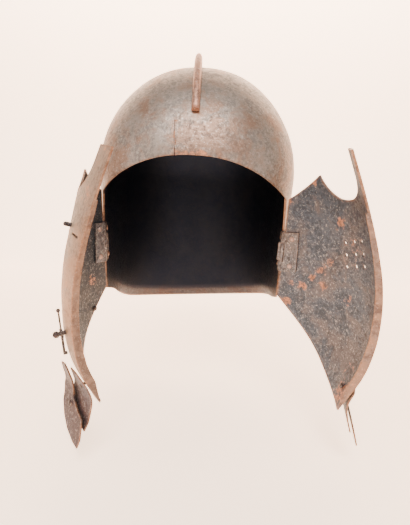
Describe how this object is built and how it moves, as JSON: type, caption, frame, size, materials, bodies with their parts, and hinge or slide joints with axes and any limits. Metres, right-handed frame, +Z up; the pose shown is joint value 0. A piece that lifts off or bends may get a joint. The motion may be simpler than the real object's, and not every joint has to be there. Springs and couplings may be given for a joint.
{
  "type": "armet helmet with two hinged cheek doors",
  "caption": "Round steel helmet with a low comb, two swung-open pointed cheek doors with eye notches and breath holes, throat plates and a swivelling hook.",
  "frame": {"origin": "where the crown of the head touches the inside of the skull, under the comb", "axes": "+Z up, -Y out of the face opening, +X to the wearer's left"},
  "size_m": [0.2961, 0.3065, 0.3967],
  "materials": {
    "skull_steel": "satin, grey-brown patina",
    "comb_steel": "satin, rust-stained",
    "door_steel": "satin, grey-brown patina",
    "hinge_steel": "worn satin",
    "lame_steel": "dark worn satin",
    "fastener_steel": "dark worn satin"
  },
  "bodies": {
    "skull_body": {"comb": "comb_steel", "hinge_pin_left": "hinge_steel", "hinge_pin_right": "hinge_steel", "skull": "skull_steel", "skull_hinge_leaf_left": "hinge_steel", "skull_hinge_leaf_right": "hinge_steel", "skull_rivet_left_lower": "fastener_steel", "skull_rivet_left_upper": "fastener_steel", "skull_rivet_right_lower": "fastener_steel", "skull_rivet_right_upper": "fastener_steel"},
    "left_door": {"door_hinge_leaf_left": "hinge_steel", "door_left": "door_steel", "door_rivet_lower_left": "fastener_steel", "door_rivet_upper_left": "fastener_steel", "lower_lame_left": "lame_steel", "lower_lame_rivet_left": "fastener_steel", "upper_lame_left": "lame_steel", "upper_lame_rivet_left": "fastener_steel"},
    "right_door": {"catch_pin_right": "fastener_steel", "door_hinge_leaf_right": "hinge_steel", "door_right": "door_steel", "door_rivet_lower_right": "fastener_steel", "door_rivet_upper_right": "fastener_steel", "edge_rivet_right": "fastener_steel", "hook_post_right": "fastener_steel", "lower_lame_right": "lame_steel", "lower_lame_rivet_right": "fastener_steel", "upper_lame_right": "lame_steel", "upper_lame_rivet_right": "fastener_steel"},
    "hook": {"fastening_hook": "fastener_steel"}
  },
  "joints": [
    {"name": "left_door_hinge", "type": "hinge", "parent": "skull_body", "child": "left_door", "pos_m": [0.098, -0.057, -0.1945], "axis": [0, -0.2334, 0.9724], "range_deg": [-82, 33]},
    {"name": "right_door_hinge", "type": "hinge", "parent": "skull_body", "child": "right_door", "pos_m": [-0.098, -0.057, -0.1945], "axis": [0, 0.2334, -0.9724], "range_deg": [-45, 70]},
    {"name": "hook_pivot", "type": "hinge", "parent": "right_door", "child": "hook", "pos_m": [-0.10242, -0.16227, -0.26265], "axis": [-0.8166, -0.5564, -0.1536], "range_deg": [-50, 50]}
  ]
}
